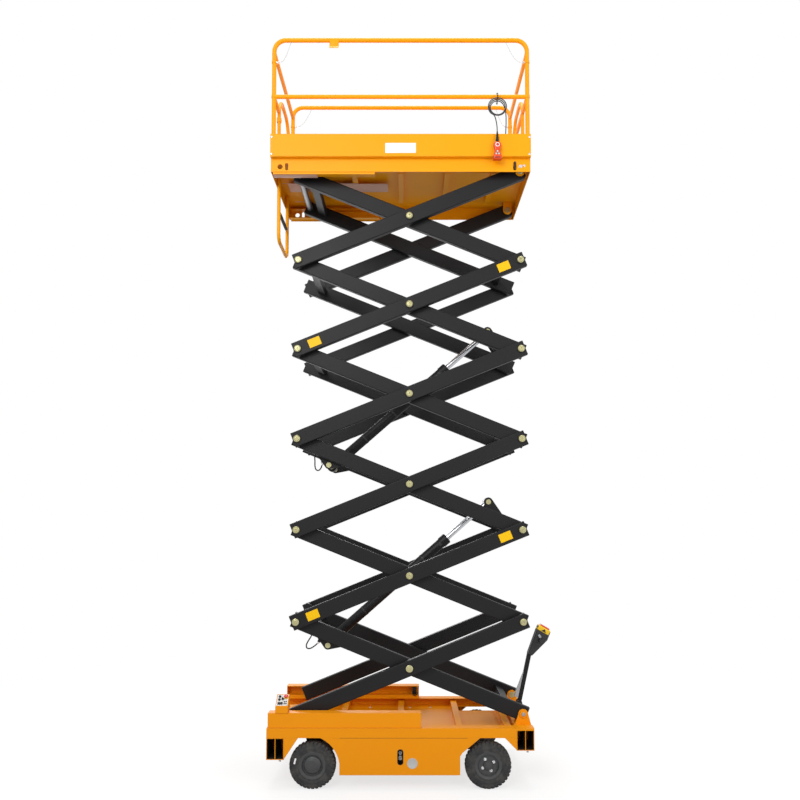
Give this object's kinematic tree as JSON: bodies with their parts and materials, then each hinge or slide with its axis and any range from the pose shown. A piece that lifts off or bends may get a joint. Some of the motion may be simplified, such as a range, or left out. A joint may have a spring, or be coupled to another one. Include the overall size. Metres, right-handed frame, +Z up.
{
  "type": "scissor lift",
  "caption": "Walk-behind mobile scissor lift, partly raised: crossed black arms between an orange wheeled chassis with a steering tiller and a railed orange platform.",
  "frame": {"origin": "on the floor under the middle of the whole machine's length; the machine's middle plane is y = 0", "axes": "+X along the machine towards the tiller, +Y towards the side away from the pendant control, +Z up"},
  "size_m": [2.6644, 1.258, 6.9142],
  "materials": {
    "orange_paint": "gloss orange powder coat",
    "black_paint": "semi-gloss black powder coat",
    "rim_paint": "satin dark grey paint",
    "zinc": "yellow zinc plate",
    "steel": "ground steel",
    "chrome": "hard chrome",
    "tyre": "black rubber",
    "black_plastic": "moulded black plastic",
    "grey_plastic": "moulded grey plastic",
    "red_plastic": "moulded red-orange plastic",
    "black_rubber": "black rubber sheath"
  },
  "bodies": {
    "chassis": {"chassis_frame": "orange_paint", "roller_tracks": "orange_paint", "side_skirts": "orange_paint", "belly_pan": "orange_paint", "power_pack": "black_plastic", "outrigger_sleeves": "orange_paint", "lower_controls": "orange_paint", "axles": "black_paint"},
    "inner_1": {"inner_frame_1": "black_paint", "pins_1": "zinc", "hose_1": "black_rubber"},
    "outer_1": {"outer_arms_1": "black_paint", "foot_rollers": "steel"},
    "inner_2": {"inner_frame_2": "black_paint", "pins_2": "zinc"},
    "outer_2": {"outer_arms_2": "black_paint"},
    "inner_3": {"inner_frame_3": "black_paint", "pins_3": "zinc", "hose_2": "black_rubber"},
    "outer_3": {"outer_arms_3": "black_paint"},
    "inner_4": {"inner_frame_4": "black_paint", "pins_4": "zinc"},
    "outer_4": {"outer_arms_4": "black_paint"},
    "inner_5": {"inner_frame_5": "black_paint", "pins_5": "zinc"},
    "outer_5": {"outer_arms_5": "black_paint"},
    "inner_6": {"inner_frame_6": "black_paint", "pins_6": "zinc", "head_rollers": "steel"},
    "outer_6": {"outer_arms_6": "black_paint"},
    "platform": {"platform_frame": "orange_paint", "platform_pins": "zinc", "toe_boards": "orange_paint", "side_rails": "orange_paint", "end_rails": "orange_paint", "ladder": "orange_paint", "pendant": "red_plastic", "pendant_cord": "black_rubber", "cord_coil": "black_rubber", "cord_gland": "black_plastic"},
    "barrel_1": {"cylinder_barrel_1": "black_paint"},
    "rod_1": {"cylinder_rod_1": "chrome"},
    "barrel_2": {"cylinder_barrel_2": "black_paint"},
    "rod_2": {"cylinder_rod_2": "chrome"},
    "tiller_turret": {"tiller_turret": "black_paint"},
    "tiller": {"tiller_stem": "black_paint", "tiller_cover": "grey_plastic", "tiller_head": "black_plastic"},
    "steering_link": {"steering_link": "black_paint"},
    "knuckle_near": {"steer_knuckle_near": "black_paint"},
    "wheel_left_near": {"tyre_left_near": "tyre", "rim_left_near": "rim_paint"},
    "wheel_right_near": {"tyre_right_near": "tyre", "rim_right_near": "rim_paint"},
    "knuckle_far": {"steer_knuckle_far": "black_paint"},
    "wheel_left_far": {"tyre_left_far": "tyre", "rim_left_far": "rim_paint"},
    "wheel_right_far": {"tyre_right_far": "tyre", "rim_right_far": "rim_paint"},
    "gate": {"entry_gate": "orange_paint"}
  },
  "joints": [
    {"name": "fold", "type": "hinge", "parent": "chassis", "child": "inner_1", "pos_m": [1.001, 0, 0.622], "axis": [0, 1, 0], "range_deg": [-18.2, 28]},
    {"name": "fold_outer_1", "type": "hinge", "parent": "inner_1", "child": "outer_1", "pos_m": [-0.04208, 0, 1.04343], "axis": [0, 1, 0], "range_deg": [-56.2, 36.6]},
    {"name": "fold_inner_2", "type": "hinge", "parent": "outer_1", "child": "inner_2", "pos_m": [1.001, 0, 1.46487], "axis": [0, 1, 0], "range_deg": [-36.6, 56.2]},
    {"name": "fold_outer_2", "type": "hinge", "parent": "inner_2", "child": "outer_2", "pos_m": [-0.04208, 0, 1.8863], "axis": [0, 1, 0], "range_deg": [-56.2, 36.6]},
    {"name": "fold_inner_3", "type": "hinge", "parent": "outer_2", "child": "inner_3", "pos_m": [1.001, 0, 2.30773], "axis": [0, 1, 0], "range_deg": [-36.6, 56.2]},
    {"name": "fold_outer_3", "type": "hinge", "parent": "inner_3", "child": "outer_3", "pos_m": [-0.04208, 0, 2.72916], "axis": [0, 1, 0], "range_deg": [-56.2, 36.6]},
    {"name": "fold_inner_4", "type": "hinge", "parent": "outer_3", "child": "inner_4", "pos_m": [1.001, 0, 3.1506], "axis": [0, 1, 0], "range_deg": [-36.6, 56.2]},
    {"name": "fold_outer_4", "type": "hinge", "parent": "inner_4", "child": "outer_4", "pos_m": [-0.04208, 0, 3.57203], "axis": [0, 1, 0], "range_deg": [-56.2, 36.6]},
    {"name": "fold_inner_5", "type": "hinge", "parent": "outer_4", "child": "inner_5", "pos_m": [1.001, 0, 3.99346], "axis": [0, 1, 0], "range_deg": [-36.6, 56.2]},
    {"name": "fold_outer_5", "type": "hinge", "parent": "inner_5", "child": "outer_5", "pos_m": [-0.04208, 0, 4.41489], "axis": [0, 1, 0], "range_deg": [-56.2, 36.6]},
    {"name": "fold_inner_6", "type": "hinge", "parent": "outer_5", "child": "inner_6", "pos_m": [1.001, 0, 4.83632], "axis": [0, 1, 0], "range_deg": [-36.6, 56.2]},
    {"name": "fold_outer_6", "type": "hinge", "parent": "inner_6", "child": "outer_6", "pos_m": [-0.04208, 0, 5.25776], "axis": [0, 1, 0], "range_deg": [-56.2, 36.6]},
    {"name": "fold_platform", "type": "hinge", "parent": "outer_6", "child": "platform", "pos_m": [1.001, 0, 5.67919], "axis": [0, 1, 0], "range_deg": [-18.4, 28.2]},
    {"name": "barrel_1_swing", "type": "hinge", "parent": "inner_1", "child": "barrel_1", "pos_m": [-0.80261, 0, 1.22991], "axis": [0, 1, 0], "range_deg": [-57.32, 37.33]},
    {"name": "rod_1_slide", "type": "slide", "parent": "barrel_1", "child": "rod_1", "axis": [0.7522, 0, 0.659], "range_m": [-0.44571, 0.68517]},
    {"name": "barrel_2_swing", "type": "hinge", "parent": "inner_3", "child": "barrel_2", "pos_m": [-0.80261, 0, 2.91564], "axis": [0, 1, 0], "range_deg": [-57.32, 37.33]},
    {"name": "rod_2_slide", "type": "slide", "parent": "barrel_2", "child": "rod_2", "axis": [0.7522, 0, 0.659], "range_m": [-0.44571, 0.68517]},
    {"name": "tiller_steer", "type": "hinge", "parent": "chassis", "child": "tiller_turret", "pos_m": [1.026, 0, 0.5], "axis": [0, 0, 1], "range_deg": [-35, 35]},
    {"name": "tiller_tilt", "type": "hinge", "parent": "tiller_turret", "child": "tiller", "pos_m": [1.026, 0, 0.628], "axis": [0, 1, 0], "range_deg": [0, 60]},
    {"name": "link_swing", "type": "hinge", "parent": "tiller_turret", "child": "steering_link", "pos_m": [0.896, 0, 0.405], "axis": [0, 0, 1], "range_deg": [-35.2, 35.2]},
    {"name": "knuckle_near_steer", "type": "hinge", "parent": "chassis", "child": "knuckle_near", "pos_m": [0.662, -0.43, 0.208], "axis": [0, 0, 1], "range_deg": [-35.2, 35.2]},
    {"name": "wheel_left_near_spin", "type": "hinge", "parent": "chassis", "child": "wheel_left_near", "pos_m": [-0.91, -0.535, 0.208], "axis": [0, 1, 0], "continuous": true},
    {"name": "wheel_right_near_spin", "type": "hinge", "parent": "knuckle_near", "child": "wheel_right_near", "pos_m": [0.662, -0.535, 0.208], "axis": [0, 1, 0], "continuous": true},
    {"name": "knuckle_far_steer", "type": "hinge", "parent": "chassis", "child": "knuckle_far", "pos_m": [0.662, 0.43, 0.208], "axis": [0, 0, 1], "range_deg": [-35.2, 35.2]},
    {"name": "wheel_left_far_spin", "type": "hinge", "parent": "chassis", "child": "wheel_left_far", "pos_m": [-0.91, 0.535, 0.208], "axis": [0, 1, 0], "continuous": true},
    {"name": "wheel_right_far_spin", "type": "hinge", "parent": "knuckle_far", "child": "wheel_right_far", "pos_m": [0.662, 0.535, 0.208], "axis": [0, 1, 0], "continuous": true},
    {"name": "gate_swing", "type": "hinge", "parent": "platform", "child": "gate", "pos_m": [-1.308, -0.288, 5.77219], "axis": [0, 0, -1], "range_deg": [0, 90]}
  ],
  "couplings": [
    {"joint": "fold_outer_1", "follows": "fold", "ratio": -2},
    {"joint": "fold_inner_2", "follows": "fold", "ratio": 2},
    {"joint": "fold_outer_2", "follows": "fold", "ratio": -2},
    {"joint": "fold_inner_3", "follows": "fold", "ratio": 2},
    {"joint": "fold_outer_3", "follows": "fold", "ratio": -2},
    {"joint": "fold_inner_4", "follows": "fold", "ratio": 2},
    {"joint": "fold_outer_4", "follows": "fold", "ratio": -2},
    {"joint": "fold_inner_5", "follows": "fold", "ratio": 2},
    {"joint": "fold_outer_5", "follows": "fold", "ratio": -2},
    {"joint": "fold_inner_6", "follows": "fold", "ratio": 2},
    {"joint": "fold_outer_6", "follows": "fold", "ratio": -2},
    {"joint": "fold_platform", "follows": "fold", "ratio": 1},
    {"joint": "barrel_1_swing", "follows": "fold", "ratio": -2.04},
    {"joint": "rod_1_slide", "follows": "fold", "m_per_rad": 1.4},
    {"joint": "barrel_2_swing", "follows": "fold", "ratio": -2.04},
    {"joint": "rod_2_slide", "follows": "fold", "m_per_rad": 1.4},
    {"joint": "link_swing", "follows": "tiller_steer", "ratio": -1},
    {"joint": "knuckle_near_steer", "follows": "tiller_steer", "ratio": 1},
    {"joint": "knuckle_far_steer", "follows": "tiller_steer", "ratio": 1}
  ]
}
